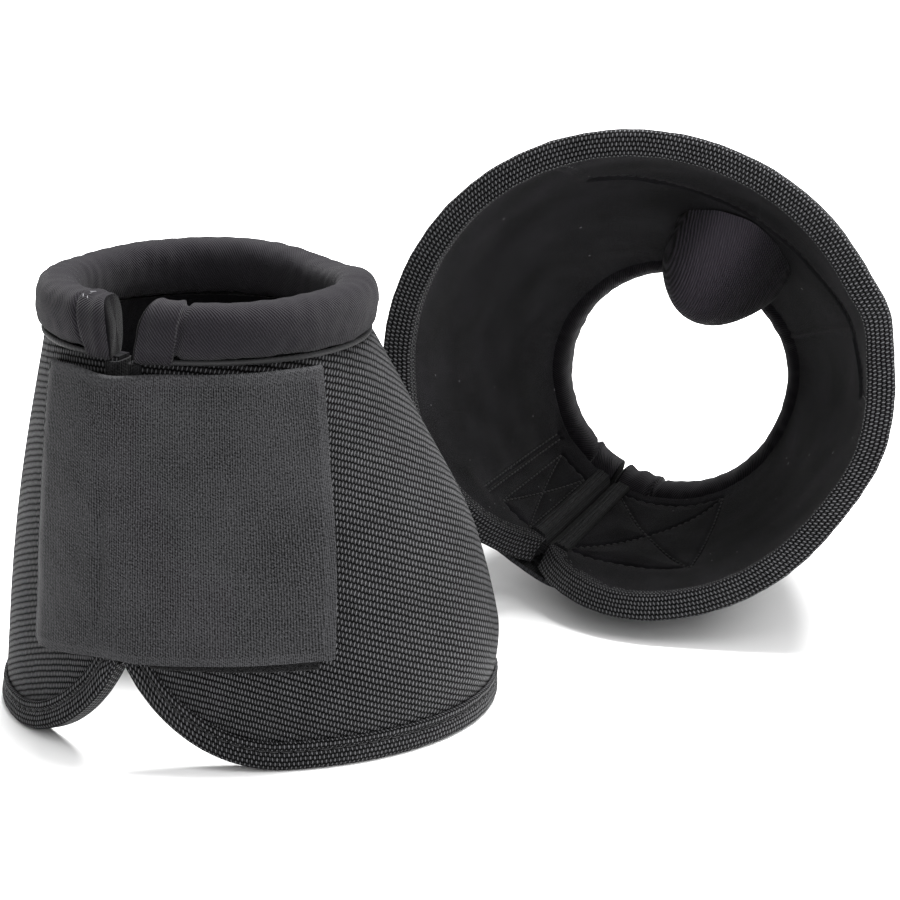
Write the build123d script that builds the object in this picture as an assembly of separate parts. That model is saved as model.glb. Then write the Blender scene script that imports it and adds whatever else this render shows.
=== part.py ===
from build123d import *
from math import asin, atan, cos, degrees, radians, sin, sqrt, tan
import os

# A pair of horse bell boots. One stands on its hem, its mirror image lies on its side.
# Every boot is first made in its own space: hem on z = 0, pastern axis on Z, slit facing -Y.
# Angles go round the pastern axis from the slit, positive towards +X. Millimetres.

# bell
WALL_TOP = 125.0
TOP_R = 49.5
HEM_R = 77.3
HEM_R_LYING = 80.8
FLARE_POWER = 1.65
OFFSET_SHARE = 0.86
COLLAR_TILT = -1.5

# layers, as depths under the outer skin
SHELL_IN = 1.2
FOAM_OUT = 1.25
FOAM_IN = 5.05
LINING_OUT = 5.1
LINING_IN = 6.2
REAR_SEAM = 144.0
SEAM_GAP = 0.04

# slit and hem
TAPE_EDGE = 1.7
WALL_EDGE = 2.8
TAPE_REACH = 7.0
LOBE_REACH = 52.0
LOBE_R = 56.5
BAND = 9.0
BAND_CEILING = 36.0
SKIN = 0.9
FOLD = 1.0
TRIM = 0.3

# collar roll
ROLL_INNER_R = 39.5
ROLL_THICK = 13.0
ROLL_TALL = 17.0
ROLL_ROUND = 6.0
ROLL_SKIN = 1.2
ROLL_END = 1.7
ROLL_CORE_END = 3.4
WRAP_REACH = 20.0
PIPING_R = 0.85

# heel patch and knob
PATCH_HALF = 47.0
PATCH_LOW = 10.2
PATCH_SIDE_TOP = 36.0
PATCH_MID_TOP = 60.0
PATCH_THICK = 0.9
KNOB_Z = 97.0
KNOB_Y = 43.0
KNOB_SEMI = (20.5, 18.0, 16.5)
KNOB_SKIN = 1.2

# straps
STRAP_LEFT = -35.0
STRAP_RIGHT = 65.0
STRAP_LOW = 29.5
STRAP_HIGH = 123.5
STRAP_THICK = 2.0
BASE_LEFT = 9.0
BASE_RIGHT = 60.5
BASE_LOW = 27.2
BASE_HIGH = 120.0
BASE_TOP = 2.45
FLAP_LEFT = -24.0
FLAP_RIGHT = 8.6
FLAP_LOW = 38.5
FLAP_HIGH = 117.5
FLAP_PLY = 1.12
PATCH_LAND_LEFT = -26.0
PATCH_LAND_RIGHT = -8.0
LAND_TOP = 1.5

# places of the two boots on the floor
LEFT_TURN = -27.5
RIGHT_ORIGIN = (121.0, 76.0)
RIGHT_YAW = 14.5
RIGHT_ROLL = 28.0
RIGHT_DROOP = 5.0


class Bell:
    """Hem radius of the boot being made; the lying boot has relaxed a little wider."""
    hem_r = HEM_R


def wall_radius(z):
    """Radius of the bell's round outline at a height."""
    share = min(max(z / WALL_TOP, 0.0), 1.0)
    return TOP_R + (Bell.hem_r - TOP_R) * (1 - share ** FLARE_POWER)


def reach(angle, z, depth):
    """Distance from the pastern axis to the wall, a depth under its outer skin."""
    offset = OFFSET_SHARE * (wall_radius(z) - TOP_R)
    a = radians(angle)
    r = wall_radius(z) - depth
    return -offset * cos(a) + sqrt(r * r - (offset * sin(a)) ** 2)


def on_wall(angle, z, depth):
    a = radians(angle)
    d = reach(angle, z, depth)
    return Vector(d * sin(a), -d * cos(a), z)


def top_height(angle, depth):
    """Height of the tilted plane where the wall meets the collar roll."""
    z = WALL_TOP
    y = -reach(angle, z, depth) * cos(radians(angle))
    return z + tan(radians(COLLAR_TILT)) * y - 0.05


def hem_height(angle):
    """Height of the hem, which curves up to the slit at both front corners."""
    a = angle if angle <= 180 else angle - 360
    if abs(a) > 62:
        return 0.0
    across = reach(a, 0, 0) * sin(radians(abs(a)))
    run = LOBE_REACH - Bell.hem_r * asin(min(across / Bell.hem_r, 1))
    if run <= 0:
        return 0.0
    return LOBE_R - sqrt(LOBE_R ** 2 - run ** 2)


def hem_slope(angle):
    """Stretch of an upright measure on the sloping part of the hem."""
    rise = hem_height(angle)
    return LOBE_R / (LOBE_R - rise)


def band_top(angle):
    return min(hem_height(angle) + BAND * hem_slope(angle), BAND_CEILING)


def stations(start, end, step):
    count = max(2, round(abs(end - start) / step))
    return [start + (end - start) * i / count for i in range(count + 1)]


def curve(angle, low, high, depth, parts=5):
    heights = [low + (high - low) * i / parts for i in range(parts + 1)]
    return [on_wall(angle, z, depth) for z in heights]


def layer_section(angle, low, high, outer, inner):
    """Upright slice through a layer of the wall, in a plane through the axis."""
    outside = curve(angle, low, high, outer)
    inside = curve(angle, low, high, inner)[::-1]
    return Wire([
        Edge.make_spline(outside),
        Edge.make_line(outside[-1], inside[0]),
        Edge.make_spline(inside),
        Edge.make_line(inside[-1], outside[0]),
    ])


def wall_layer(start, end, outer, inner, step=12.0):
    """A full-height layer of the bell between two angles."""
    sections = []
    for angle in stations(start, end, step):
        low = hem_height(angle) + FOLD * hem_slope(angle) + 0.4
        high = top_height(angle, outer)
        sections.append(layer_section(angle, low, high, outer, inner))
    return Solid.make_loft(sections)


def shell_panel_long():
    return wall_layer(REAR_SEAM + SEAM_GAP, 360 - WALL_EDGE, 0, SHELL_IN)


def shell_panel_short():
    return wall_layer(WALL_EDGE, REAR_SEAM - SEAM_GAP, 0, SHELL_IN)


def foam_core():
    return wall_layer(WALL_EDGE, 360 - WALL_EDGE, FOAM_OUT, FOAM_IN)


def lining_panel_long():
    return wall_layer(REAR_SEAM + SEAM_GAP, 360 - WALL_EDGE, LINING_OUT, LINING_IN)


def lining_panel_short():
    return wall_layer(WALL_EDGE, REAR_SEAM - SEAM_GAP, LINING_OUT, LINING_IN)


def hem_binding():
    """Folded band round the whole hem, from one side of the slit to the other."""
    out, face = -SKIN - 0.05, -0.05
    back, inside = LINING_IN + 0.05, LINING_IN + 0.05 + SKIN
    sections = []
    near = stations(TAPE_EDGE, 62, 2.6)
    angles = near + stations(62, 298, 13)[1:-1] + [360 - a for a in near[::-1]]
    for angle in angles:
        low = hem_height(angle) - TRIM
        fold = low + TRIM + FOLD * hem_slope(angle)
        high = band_top(angle)
        corners = [(out, low), (out, high), (face, high), (face, fold),
                   (back, fold), (back, high), (inside, high), (inside, low)]
        points = [on_wall(angle, z, depth) for depth, z in corners]
        sections.append(Wire.make_polygon(points, close=True))
    floor = Pos(0, 0, -10) * Box(300, 300, 20)
    return Solid.make_loft(sections) - floor


def slit_tape(side):
    """Ribbed tape folded over one edge of the slit, between hem and collar."""
    out, face = -SKIN - 0.05, -0.05
    back, inside = LINING_IN + 0.05, LINING_IN + 0.05 + SKIN
    low = BAND_CEILING + 2.4
    high = top_height(0, out) - 0.25
    sections = []
    for i in range(7):
        z = low + (high - low) * i / 6
        corners = [(out, TAPE_EDGE), (out, TAPE_REACH), (face, TAPE_REACH), (face, WALL_EDGE - 0.06),
                   (back, WALL_EDGE - 0.06), (back, TAPE_REACH), (inside, TAPE_REACH), (inside, TAPE_EDGE)]
        points = [on_wall(side * angle, z, depth) for depth, angle in corners]
        sections.append(Wire.make_polygon(points, close=True))
    return Solid.make_loft(sections)


def tilt(shape):
    """Carry a piece of the level collar to its tilted seat on the wall."""
    return Pos(0, 0, WALL_TOP) * Rot(COLLAR_TILT, 0, 0) * shape


def roll_face(grow):
    centre = ROLL_INNER_R + ROLL_THICK / 2
    profile = RectangleRounded(ROLL_THICK + 2 * grow, ROLL_TALL + 2 * grow, ROLL_ROUND + grow)
    return Plane.XZ * Pos(centre, ROLL_TALL / 2 + 0.3) * profile


def roll_piece(face, start, end):
    """Part of the collar ring between two angles counted from the slit."""
    turned = Rot(0, 0, start - 90) * face
    return revolve(turned, Axis.Z, end - start)


def collar_foam():
    return tilt(roll_piece(roll_face(-ROLL_SKIN - 0.02), ROLL_CORE_END, 360 - ROLL_CORE_END))


def collar_cover():
    ring = roll_face(0) - roll_face(-ROLL_SKIN)
    return tilt(roll_piece(ring, WRAP_REACH + 0.1, 360 - WRAP_REACH - 0.1))


def collar_end_wrap(side):
    """Jersey sleeve with a closed end over one end of the roll."""
    ring = roll_face(0) - roll_face(-ROLL_SKIN)
    sleeve = roll_piece(ring, ROLL_END, WRAP_REACH)
    cap = roll_piece(roll_face(0), ROLL_END, ROLL_CORE_END - 0.1)
    wrap = sleeve + cap
    if side < 0:
        wrap = mirror(wrap, Plane.YZ)
    return tilt(wrap)


def collar_piping():
    bead = Plane.XZ * Pos(TOP_R + PIPING_R + 1.3, 0) * Circle(PIPING_R)
    return tilt(roll_piece(bead, TAPE_REACH + 0.5, 360 - TAPE_REACH - 0.5))


def heel_patch():
    """Lining patch across the heel, with an arched upper edge."""
    sections = []
    outer = LINING_IN + 0.2
    for angle in stations(180 - PATCH_HALF, 180 + PATCH_HALF, 9):
        share = (angle - 180) / PATCH_HALF
        high = PATCH_MID_TOP - (PATCH_MID_TOP - PATCH_SIDE_TOP) * share * share
        sections.append(layer_section(angle, PATCH_LOW, high, outer, outer + PATCH_THICK))
    return Solid.make_loft(sections)


def bell_inside(depth):
    """Solid filling the bell up to a depth under its outer skin."""
    rings = []
    for i in range(8):
        z = 55 + (WALL_TOP - 55) * i / 7
        r = wall_radius(z)
        centre = OFFSET_SHARE * (r - TOP_R)
        rings.append(Wire.make_circle(r - depth, Plane((0, centre, z))))
    return Solid.make_loft(rings)


def knob_lump(grow):
    a, b, c = KNOB_SEMI
    lump = scale(Sphere(1), by=(a + grow, b + grow, c + grow))
    return Pos(0, KNOB_Y, KNOB_Z) * lump


def knob_foam():
    return knob_lump(-KNOB_SKIN - 0.03) & bell_inside(LINING_IN + 0.4)


def knob_cover():
    hollow = knob_lump(0) - knob_lump(-KNOB_SKIN)
    return hollow & bell_inside(LINING_IN + 0.1)


def strap_gap(angle):
    """Space left under the outer strap for the pieces it covers."""
    knots = [(STRAP_LEFT, 0.3), (-31.5, 1.5), (-28, 3.6), (-25, 4.5), (-15, 4.55), (0, 4.5),
             (8.6, 4.3), (14, 3.6), (20, 3.4), (STRAP_RIGHT, 3.6)]
    for (a0, g0), (a1, g1) in zip(knots, knots[1:]):
        if angle <= a1:
            return g0 + (g1 - g0) * (angle - a0) / (a1 - a0)
    return knots[-1][1]


def strap_angles():
    return [STRAP_LEFT, -31.5, -28, -25, -20, -12, -4, 4, 9, 14, 20, 29, 38, 47, 56, STRAP_RIGHT]


def outer_strap():
    """Wide closing strap, sewn down along its left edge."""
    sections = []
    for angle in strap_angles():
        gap = strap_gap(angle)
        sections.append(layer_section(angle, STRAP_LOW, STRAP_HIGH, -gap - STRAP_THICK, -gap))
    return Solid.make_loft(sections)


def tongue_base():
    """Sewn-down part of the inner tongue, on the short panel."""
    sections = []
    for angle in [BASE_LEFT, 12, 15, 22, 30, 38, 46, 54, BASE_RIGHT]:
        low = max(BASE_LOW, band_top(angle) + 0.4)
        sections.append(layer_section(angle, low, BASE_HIGH, -BASE_TOP, -0.15))
    return Solid.make_loft(sections)


def flap_gap(angle):
    share = min(max((FLAP_RIGHT - angle) / (FLAP_RIGHT + 8), 0), 1)
    return 1.35 + 0.5 * share


def tongue_ply(first):
    """One of the two tapes of the tongue's free end, counted from the boot."""
    sections = []
    for angle in [FLAP_LEFT, -18, -13, -8, -2, 4, FLAP_RIGHT]:
        inner = flap_gap(angle) + (0 if first else FLAP_PLY + 0.05)
        sections.append(layer_section(angle, FLAP_LOW, FLAP_HIGH, -inner - FLAP_PLY, -inner))
    return Solid.make_loft(sections)


def landing_patch():
    sections = []
    for angle in stations(PATCH_LAND_LEFT, PATCH_LAND_RIGHT, 6):
        sections.append(layer_section(angle, FLAP_LOW - 1.5, FLAP_HIGH + 1.5, -LAND_TOP, -0.05))
    return Solid.make_loft(sections)


def boot(hem_r):
    """All pieces of one boot in its own space."""
    Bell.hem_r = hem_r
    return {
        "shell_panel_long": shell_panel_long(),
        "shell_panel_short": shell_panel_short(),
        "foam_core": foam_core(),
        "lining_panel_long": lining_panel_long(),
        "lining_panel_short": lining_panel_short(),
        "hem_binding": hem_binding(),
        "slit_tape_strap_side": slit_tape(-1),
        "slit_tape_tongue_side": slit_tape(1),
        "collar_foam": collar_foam(),
        "collar_cover": collar_cover(),
        "collar_end_wrap_strap_side": collar_end_wrap(-1),
        "collar_end_wrap_tongue_side": collar_end_wrap(1),
        "collar_piping": collar_piping(),
        "heel_patch": heel_patch(),
        "no_turn_knob_foam": knob_foam(),
        "no_turn_knob_cover": knob_cover(),
        "landing_loop_patch": landing_patch(),
        "tongue_base": tongue_base(),
        "tongue_hook_tape": tongue_ply(True),
        "tongue_loop_tape": tongue_ply(False),
        "closing_strap": outer_strap(),
    }


def place_left(shape):
    return Rot(0, 0, LEFT_TURN) * shape


def right_place():
    """Frame of the lying boot: hem towards -Y, slit down and to the left."""
    yaw, roll, droop = radians(RIGHT_YAW), radians(RIGHT_ROLL), radians(RIGHT_DROOP)
    axis = Vector(sin(yaw) * cos(droop), cos(yaw) * cos(droop), -sin(droop))
    slit = Vector(-sin(roll) * cos(yaw), sin(roll) * sin(yaw), -cos(roll))
    slit = (slit - axis * slit.dot(axis)).normalized()
    x_way = (slit * -1).cross(axis)
    return Plane(origin=(RIGHT_ORIGIN[0], RIGHT_ORIGIN[1], 0), x_dir=x_way, z_dir=axis)


def place_right(shape):
    return right_place().location * mirror(shape, Plane.YZ)


def pair():
    """Both boots, with the lying one let down until it touches the floor."""
    left = {"left_" + name: place_left(shape) for name, shape in boot(HEM_R).items()}
    right = {"right_" + name: place_right(shape) for name, shape in boot(HEM_R_LYING).items()}
    touching = ["right_hem_binding", "right_closing_strap", "right_collar_cover"]
    floor = min(right[name].bounding_box().min.Z for name in touching)
    right = {name: Pos(0, 0, -floor) * shape for name, shape in right.items()}
    return {**left, **right}


def centred(shapes):
    """Put the origin on the floor under the middle of the whole pair."""
    boxes = [shape.bounding_box() for shape in shapes.values()]
    x = (min(b.min.X for b in boxes) + max(b.max.X for b in boxes)) / 2
    y = (min(b.min.Y for b in boxes) + max(b.max.Y for b in boxes)) / 2
    return {name: Pos(-x, -y, 0) * shape for name, shape in shapes.items()}


def main():
    os.makedirs("parts", exist_ok=True)
    for name, shape in centred(pair()).items():
        export_step(shape, f"parts/{name}.step")


if __name__ == "__main__":
    main()
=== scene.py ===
import bpy
import numpy as np
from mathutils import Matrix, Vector


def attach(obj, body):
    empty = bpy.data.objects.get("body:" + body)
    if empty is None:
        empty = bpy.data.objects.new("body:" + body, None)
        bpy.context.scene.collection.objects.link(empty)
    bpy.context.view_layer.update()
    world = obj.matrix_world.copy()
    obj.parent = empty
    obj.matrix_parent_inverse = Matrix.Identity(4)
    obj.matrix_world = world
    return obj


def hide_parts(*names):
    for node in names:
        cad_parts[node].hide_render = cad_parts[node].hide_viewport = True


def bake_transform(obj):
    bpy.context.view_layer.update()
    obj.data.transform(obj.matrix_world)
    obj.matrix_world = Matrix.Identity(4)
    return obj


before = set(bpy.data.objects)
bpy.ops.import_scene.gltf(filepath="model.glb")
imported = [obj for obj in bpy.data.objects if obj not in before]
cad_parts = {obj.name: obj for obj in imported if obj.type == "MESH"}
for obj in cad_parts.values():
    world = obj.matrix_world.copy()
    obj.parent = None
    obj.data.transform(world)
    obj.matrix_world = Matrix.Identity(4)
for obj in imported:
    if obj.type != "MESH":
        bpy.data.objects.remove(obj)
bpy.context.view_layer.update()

# ---------------------------------------------------------------- camera
SCENE = bpy.context.scene
AIM = Vector((0.0004, -0.0825, 0.0853))
TILT = np.radians(15.9)
FAR = 1.5
camera = bpy.data.objects.new("camera", bpy.data.cameras.new("camera"))
SCENE.collection.objects.link(camera)
camera.data.sensor_width = 36.0
camera.data.lens = 194.0
camera.data.clip_end = 20.0
camera.location = AIM + Vector((0, -np.cos(TILT), np.sin(TILT))) * FAR
camera.rotation_euler = (np.pi / 2 - TILT, 0, 0)
SCENE.camera = camera
SCENE.view_settings.view_transform = "Standard"

# ---------------------------------------------------------------- sizes, in mm
WALL_TOP, TOP_R = 125.0, 49.5
HEM_R = {"left": 77.3, "right": 80.8}
FLARE, SHARE = 1.65, 0.86
TILT_COLLAR = np.radians(-1.5)
LINING_IN = 6.2
REAR_SEAM = 144.0
LOBE_REACH, LOBE_R = 52.0, 56.5
BAND, BAND_CEILING = 9.0, 36.0
ROLL_R, ROLL_W, ROLL_H = 45.5, 14.0, 17.0
STRAP_HEIGHTS = (29.5, 123.5)
LEFT_TURN = np.radians(-27.5)
RIGHT_YAW, RIGHT_ROLL, RIGHT_DROOP = np.radians((14.5, 28.0, 5.0))
SHIFT = np.array((-74.151, -82.506, 0.0))
RIGHT_AT = np.array((121.0, 76.0, 65.78))
LIE_FROM, LIE_OVER = 38.0, 35.0  # height where the lying boot starts to relax, and over how much it does
LIE_WIDER, LIE_FLATTER = 0.036, 0.015
HEEL_MID, HEEL_HALF = 173.0, 47.0  # heel patch: middle and half width in degrees
HEEL_PEAK, HEEL_FALL = 77.0, 30.0  # its height in the middle, and the fall to its sides
KNOB_X, KNOB_Z, KNOB_TIP = -4.5, 97.0, 29.0
TAPE_FOOT, TAPE_HEAD = 36.9, 125.0


def smooth_step(k):
    return k * k * (3 - 2 * k)


def closed(grid):
    """Grid with its first column repeated at the end."""
    return np.concatenate([grid, grid[:, :1]], 1)


def right_axes():
    axis = np.array((np.sin(RIGHT_YAW) * np.cos(RIGHT_DROOP), np.cos(RIGHT_YAW) * np.cos(RIGHT_DROOP),
                     -np.sin(RIGHT_DROOP)))
    slit = np.array((-np.sin(RIGHT_ROLL) * np.cos(RIGHT_YAW), np.sin(RIGHT_ROLL) * np.sin(RIGHT_YAW),
                     -np.cos(RIGHT_ROLL)))
    slit = slit - axis * (slit @ axis)
    slit /= np.linalg.norm(slit)
    return np.stack([np.cross(-slit, axis), -slit, axis])


RIGHT_AXES = right_axes()


def place(points, side):
    """Boot space in mm to the row frame in metres; the lying boot relaxes a little towards its top."""
    p = np.asarray(points, float)
    if side == "left":
        c, s = np.cos(LEFT_TURN), np.sin(LEFT_TURN)
        p = np.stack([c * p[..., 0] - s * p[..., 1], s * p[..., 0] + c * p[..., 1], p[..., 2]], -1)
        return (p + SHIFT) / 1000
    p = p * np.array((-1, 1, 1)) @ RIGHT_AXES + RIGHT_AT
    k = smooth_step(np.clip((p[..., 2] - LIE_FROM) / LIE_OVER, 0, 1))
    wide = RIGHT_AT[0] + (p[..., 0] - RIGHT_AT[0]) * (1 + LIE_WIDER * k)
    p = np.stack([wide, p[..., 1], p[..., 2] * (1 - LIE_FLATTER * k)], -1)
    return (p + SHIFT) / 1000


# ---------------------------------------------------------------- the bell wall
class Bell:
    """Shape of the boot being made: hem radius, belly of its short panel and lump at its rear seam."""
    hem_r = 77.3
    belly = 0.0
    seam_lump = 0.0


def wall_radius(z):
    return TOP_R + (Bell.hem_r - TOP_R) * (1 - np.clip(z / WALL_TOP, 0, 1) ** FLARE)


def sag(a, z):
    """Slight unevenness of the soft wall, the same through all its layers."""
    t = np.radians(a)
    s = (0.40 * np.sin(2 * t + 0.6 + z / 60) + 0.30 * np.sin(5 * t + z / 31)
         + 0.18 * np.sin(11 * t - z / 23 + 1))
    s = s * np.clip((WALL_TOP - z) / 25, 0, 1) * np.clip(z / 25, 0.0, 1)
    rise = np.clip(z / 26, 0, 1)
    fall = np.clip((100 - z) / 50, 0, 1)
    ring = np.degrees(t) % 360
    s = s + Bell.seam_lump * np.exp(-((ring - 147) / 5) ** 2) * np.clip((70 - z) / 40, 0, 1)
    return s + Bell.belly * smooth_step(rise) * smooth_step(fall) * np.exp(-((ring - 112) / 50) ** 2)


def reach(a, z, depth):
    off = SHARE * (wall_radius(z) - TOP_R)
    t = np.radians(a)
    r = wall_radius(z) + sag(a, z) - depth
    return -off * np.cos(t) + np.sqrt(r * r - (off * np.sin(t)) ** 2)


def on_wall(a, z, depth):
    a, z, depth = np.broadcast_arrays(*(np.asarray(v, float) for v in (a, z, depth)))
    d = reach(a, z, depth)
    t = np.radians(a)
    return np.stack([d * np.sin(t), -d * np.cos(t), z], -1)


def top_height(a):
    y = -reach(a, WALL_TOP, 0.0) * np.cos(np.radians(a))
    return WALL_TOP + np.tan(TILT_COLLAR) * y - 0.05


def signed(a):
    return (np.asarray(a, float) + 180) % 360 - 180


def hem_height(a):
    b = np.abs(signed(a))
    off = SHARE * (Bell.hem_r - TOP_R)
    t = np.radians(b)
    flat = -off * np.cos(t) + np.sqrt(Bell.hem_r ** 2 - (off * np.sin(t)) ** 2)
    run = LOBE_REACH - Bell.hem_r * np.arcsin(np.clip(flat * np.sin(t) / Bell.hem_r, -1, 1))
    run = np.where(b > 62, 0, np.maximum(run, 0))
    return LOBE_R - np.sqrt(LOBE_R ** 2 - run ** 2)


def hem_slope(a):
    return LOBE_R / (LOBE_R - hem_height(a))


def band_top(a):
    return np.minimum(hem_height(a) + BAND * hem_slope(a), BAND_CEILING)


# flat pattern of the bell, with its rows of yarn square to the slit
Z_TABLE = np.linspace(0, WALL_TOP + 4, 260)
FLAT_TOP = 235.0


def flat_pattern(a, z):
    slant = np.concatenate([[0], np.cumsum(np.hypot(np.diff(Z_TABLE), np.diff(wall_radius(Z_TABLE))))])
    s = FLAT_TOP + slant[-1] - np.interp(z, Z_TABLE, slant)
    off = SHARE * (wall_radius(z) - TOP_R)
    t = np.radians(signed(a))
    turn = t + np.arcsin(np.clip(off * np.sin(t) / wall_radius(z), -1, 1))
    bend = turn * wall_radius(z) / s
    return np.stack([s * np.sin(bend), -s * np.cos(bend)], -1)


def spaced(lo, hi, step, edge=1.0, rows=4):
    """Even samples with a few closer ones at both ends for a rounded edge."""
    count = max(3, int(round(abs(hi - lo) / step)))
    way = np.sign(hi - lo)
    near = edge * (1 - np.cos(np.linspace(0, np.pi / 2, rows + 1)))
    mid = np.linspace(lo + way * edge, hi - way * edge, count)
    return np.concatenate([lo + way * near[:-1], mid, hi - way * near[:-1][::-1]])


def edge_round(v, lo, hi, r):
    """1 in the middle of a sheet, falling to 0 in a quarter circle at its edges."""
    d = np.clip(np.minimum(np.abs(v - lo), np.abs(hi - v)) / r, 0, 1)
    return np.sqrt(1 - (1 - d) ** 2)


def ripple(seed, x, y, size):
    """Smooth repeatable unevenness, about -1 to 1."""
    rng = np.random.default_rng(seed)
    out = np.zeros(np.broadcast(x, y).shape)
    for i in range(7):
        k = rng.normal(size=2)
        k *= 2 * np.pi / size / np.hypot(*k) * rng.uniform(0.6, 1.5)
        out += np.sin(k[0] * x + k[1] * y + rng.uniform(0, 6.28))
    return out / 3.2


# ---------------------------------------------------------------- mesh building
def build(name, side, verts, quads, uvs, material, body, nodes=(), smooth=55):
    co = place(verts, side)
    q = np.asarray(quads)
    v = co[q]
    vol = np.einsum("ij,ij->i", v[:, 0], np.cross(v[:, 1], v[:, 2])).sum()
    vol += np.einsum("ij,ij->i", v[:, 0], np.cross(v[:, 2], v[:, 3])).sum()
    if vol < 0:
        q = q[:, ::-1]
        uvs = uvs[:, ::-1]
    mesh = bpy.data.meshes.new(name)
    mesh.vertices.add(len(co))
    mesh.vertices.foreach_set("co", co.astype(np.float32).ravel())
    mesh.loops.add(q.size)
    mesh.loops.foreach_set("vertex_index", q.astype(np.int32).ravel())
    mesh.polygons.add(len(q))
    mesh.polygons.foreach_set("loop_start", np.arange(0, q.size, 4, dtype=np.int32))
    mesh.update(calc_edges=True)
    layer = mesh.uv_layers.new(name="cloth")
    layer.data.foreach_set("uv", uvs.reshape(-1, 2).astype(np.float32).ravel())
    mesh.polygons.foreach_set("use_smooth", np.ones(len(q), bool))
    mesh.set_sharp_from_angle(angle=np.radians(smooth))
    mesh.materials.append(material)
    obj = bpy.data.objects.new(name, mesh)
    SCENE.collection.objects.link(obj)
    if nodes:
        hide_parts(*nodes)
    if body:
        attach(obj, body)
    return obj


def strips(index):
    return np.stack([index[:-1, :-1], index[1:, :-1], index[1:, 1:], index[:-1, 1:]], -1).reshape(-1, 4)


def slab(name, side, outer, inner, uv, material, body, nodes=()):
    """Closed sheet between two matching grids of points."""
    n, m, _ = outer.shape
    top = np.arange(n * m).reshape(n, m)
    low = top + n * m
    verts = np.concatenate([outer.reshape(-1, 3), inner.reshape(-1, 3)])
    flat = np.concatenate([uv.reshape(-1, 2)] * 2)
    parts = [strips(top), strips(low)[:, ::-1]]
    for a, b in ((top[0], low[0]), (top[-1, ::-1], low[-1, ::-1]), (top[::-1, 0], low[::-1, 0]),
                 (top[:, -1], low[:, -1])):
        parts.append(np.stack([a[1:], b[1:], b[:-1], a[:-1]], -1)[:, ::-1])
    quads = np.concatenate(parts)
    return build(name, side, verts, quads, flat[quads], material, body, nodes)


def tube(name, side, rings, uv, material, body, nodes=()):
    """Skin over a row of closed rings; the first and last rings are points, tiny loops or hidden."""
    n, m, _ = rings.shape
    index = np.arange(n * m).reshape(n, m)
    quads = strips(closed(index))
    cell = np.arange(n * (m + 1)).reshape(n, m + 1)
    loops = uv.reshape(-1, 2)[strips(cell)]
    return build(name, side, rings.reshape(-1, 3), quads, loops, material, body, nodes)


def stitches(name, side, lines, material, body, length=3.1, gap=0.55, r=0.34):
    """Rows of thread stitches. Each line is (points, outward directions)."""
    verts, quads = [], []
    rows, ring = 6, 6
    for points, outs in lines:
        points, outs = np.asarray(points, float), np.asarray(outs, float)
        run = np.concatenate([[0], np.cumsum(np.linalg.norm(np.diff(points, axis=0), axis=1))])
        count = max(1, int(run[-1] / (length + gap)))
        pitch = run[-1] / count
        t = np.linspace(0, 1, rows)
        for i in range(count):
            s = i * pitch + gap / 2 + t * (pitch - gap)
            p = np.stack([np.interp(s, run, points[:, k]) for k in range(3)], -1)
            o = np.stack([np.interp(s, run, outs[:, k]) for k in range(3)], -1)
            o /= np.linalg.norm(o, axis=1)[:, None]
            d = np.gradient(p, axis=0)
            d /= np.linalg.norm(d, axis=1)[:, None]
            side_way = np.cross(d, o)
            lift = 0.30 * np.sin(np.pi * t)[:, None] - 0.12
            fat = (r * np.sin(np.pi * (0.12 + 0.76 * t)) ** 0.5)[:, None]
            base = sum(len(v) for v in verts)
            loop = []
            for j in range(ring):
                ang = 2 * np.pi * j / ring
                loop.append(p + o * (lift + fat * np.sin(ang)) + side_way * (fat * np.cos(ang)))
            verts.append(np.stack(loop, 1).reshape(-1, 3))
            index = base + np.arange(rows * ring).reshape(rows, ring)
            quads.append(strips(closed(index)))
            quads.append(np.array([[index[0, 0], index[0, 1], index[0, 2], index[0, 3]],
                                   [index[0, 0], index[0, 3], index[0, 4], index[0, 5]],
                                   [index[-1, 3], index[-1, 2], index[-1, 1], index[-1, 0]],
                                   [index[-1, 5], index[-1, 4], index[-1, 3], index[-1, 0]]]))
    verts, quads = np.concatenate(verts), np.concatenate(quads)
    flat = np.stack([verts[:, 0] + verts[:, 1], verts[:, 2]], -1)
    return build(name, side, verts, quads, flat[quads], material, body, smooth=180)


def outward(a):
    t = np.radians(np.asarray(a, float))
    return np.stack([np.sin(t), -np.cos(t), 0 * t], -1)


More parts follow.
